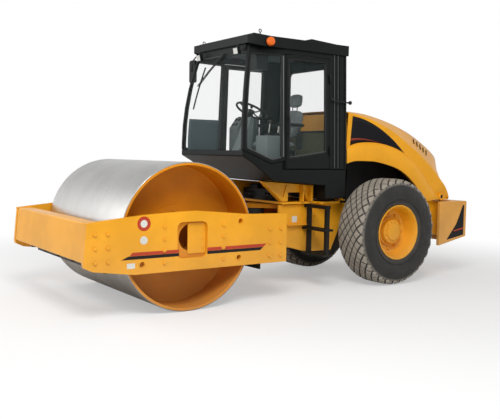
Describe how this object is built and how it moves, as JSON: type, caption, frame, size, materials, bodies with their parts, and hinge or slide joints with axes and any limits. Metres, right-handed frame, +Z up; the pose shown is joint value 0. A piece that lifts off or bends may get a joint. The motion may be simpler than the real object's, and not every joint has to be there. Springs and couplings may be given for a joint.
{
  "type": "single drum road roller",
  "caption": "Articulated single drum road roller with a smooth steel drum in a front yoke, a glazed cab, large block tread tyres, a tilting bonnet and a tail weight.",
  "frame": {"origin": "on the ground, under the middle of the machine's length and width", "axes": "+X forward towards the drum, +Y to the machine's left, +Z up"},
  "size_m": [6.023, 2.3, 3.195],
  "materials": {
    "yellow_paint": "semi-gloss construction yellow",
    "sand_paint": "satin sand yellow",
    "black_paint": "satin black",
    "rolled_steel": "turned bright",
    "chromed_rod": "polished",
    "tyre_rubber": "dusty matt",
    "cast_iron": "painted dark",
    "grey_plastic": "moulded grain",
    "seat_cloth": "woven",
    "clear_glass": "clear"
  },
  "bodies": {
    "rear_frame": {"frame_side_left": "yellow_paint", "frame_side_right": "yellow_paint", "frame_nose": "yellow_paint", "frame_deck": "yellow_paint", "cab_mount_left": "yellow_paint", "cab_mount_right": "yellow_paint", "rear_axle": "cast_iron", "counterweight": "sand_paint", "engine_block": "cast_iron", "radiator": "black_paint", "cab_base": "black_paint", "cab_side_left": "black_paint", "cab_side_right": "black_paint", "cab_back": "black_paint", "cab_roof": "black_paint", "windscreen": "clear_glass", "side_glass_left": "clear_glass", "side_glass_right": "clear_glass", "rear_glass": "clear_glass", "seat_base": "black_paint", "seat_cushion": "seat_cloth", "seat_back": "seat_cloth", "steering_console": "grey_plastic", "steering_wheel": "black_paint", "console_left": "grey_plastic", "console_right": "grey_plastic", "ceiling_box": "black_paint", "step_left": "black_paint", "step_right": "black_paint"},
    "hitch": {"centre_hitch": "cast_iron"},
    "front_frame": {"front_beam": "yellow_paint", "yoke_plate_left": "yellow_paint", "yoke_plate_right": "yellow_paint", "drum_support_left": "cast_iron", "drum_support_right": "cast_iron", "rear_cross_member": "yellow_paint", "scraper_front": "black_paint", "scraper_rear": "black_paint"},
    "drum": {"drum_shell": "rolled_steel", "drum_head_left": "yellow_paint", "drum_head_right": "yellow_paint", "exciter_tube": "cast_iron"},
    "wheel_left": {"tyre_left": "tyre_rubber", "rim_left": "yellow_paint"},
    "wheel_right": {"tyre_right": "tyre_rubber", "rim_right": "yellow_paint"},
    "door_left": {"door_left": "black_paint", "door_glass_left": "clear_glass"},
    "door_right": {"door_right": "black_paint", "door_glass_right": "clear_glass"},
    "bonnet": {"hood": "yellow_paint"},
    "barrel_left": {"steering_barrel_left": "black_paint"},
    "barrel_right": {"steering_barrel_right": "black_paint"},
    "rod_left": {"steering_rod_left": "chromed_rod"},
    "rod_right": {"steering_rod_right": "chromed_rod"}
  },
  "joints": [
    {"name": "articulation", "type": "hinge", "parent": "rear_frame", "child": "hitch", "pos_m": [0.165, 0, 0.79], "axis": [0, 0, 1], "range_deg": [-33, 33]},
    {"name": "oscillation", "type": "hinge", "parent": "hitch", "child": "front_frame", "pos_m": [0.465, 0, 0.79], "axis": [1, 0, 0], "range_deg": [-11, 11]},
    {"name": "drum_spin", "type": "hinge", "parent": "front_frame", "child": "drum", "pos_m": [1.765, 0, 0.81556], "axis": [0, 1, 0], "continuous": true},
    {"name": "wheel_left_spin", "type": "hinge", "parent": "rear_frame", "child": "wheel_left", "pos_m": [-1.435, 0.865, 0.71414], "axis": [0, 1, 0], "continuous": true},
    {"name": "wheel_right_spin", "type": "hinge", "parent": "rear_frame", "child": "wheel_right", "pos_m": [-1.435, -0.865, 0.71414], "axis": [0, 1, 0], "continuous": true},
    {"name": "door_left_swing", "type": "hinge", "parent": "rear_frame", "child": "door_left", "pos_m": [-0.484, 0.775, 2.25], "axis": [0, 0, 1], "range_deg": [0, 110]},
    {"name": "door_right_swing", "type": "hinge", "parent": "rear_frame", "child": "door_right", "pos_m": [-0.484, -0.775, 2.25], "axis": [0, 0, -1], "range_deg": [0, 110]},
    {"name": "bonnet_tilt", "type": "hinge", "parent": "rear_frame", "child": "bonnet", "pos_m": [-2.532, 0, 1.152], "axis": [0, -1, 0], "range_deg": [0, 50]},
    {"name": "barrel_left_swing", "type": "hinge", "parent": "rear_frame", "child": "barrel_left", "pos_m": [-0.455, 0.25, 0.64], "axis": [0, 0, 1], "range_deg": [-7, 7]},
    {"name": "barrel_right_swing", "type": "hinge", "parent": "rear_frame", "child": "barrel_right", "pos_m": [-0.455, -0.25, 0.64], "axis": [0, 0, 1], "range_deg": [-7, 7]},
    {"name": "rod_left_slide", "type": "slide", "parent": "barrel_left", "child": "rod_left", "axis": [0.9942, 0.1075, 0], "range_m": [-0.182, 0.182]},
    {"name": "rod_right_slide", "type": "slide", "parent": "barrel_right", "child": "rod_right", "axis": [0.9942, -0.1075, 0], "range_m": [-0.182, 0.182]}
  ],
  "couplings": [
    {"joint": "barrel_left_swing", "follows": "articulation", "ratio": 0.21},
    {"joint": "barrel_right_swing", "follows": "articulation", "ratio": 0.21},
    {"joint": "rod_left_slide", "follows": "articulation", "m_per_rad": -0.315},
    {"joint": "rod_right_slide", "follows": "articulation", "m_per_rad": 0.315}
  ]
}
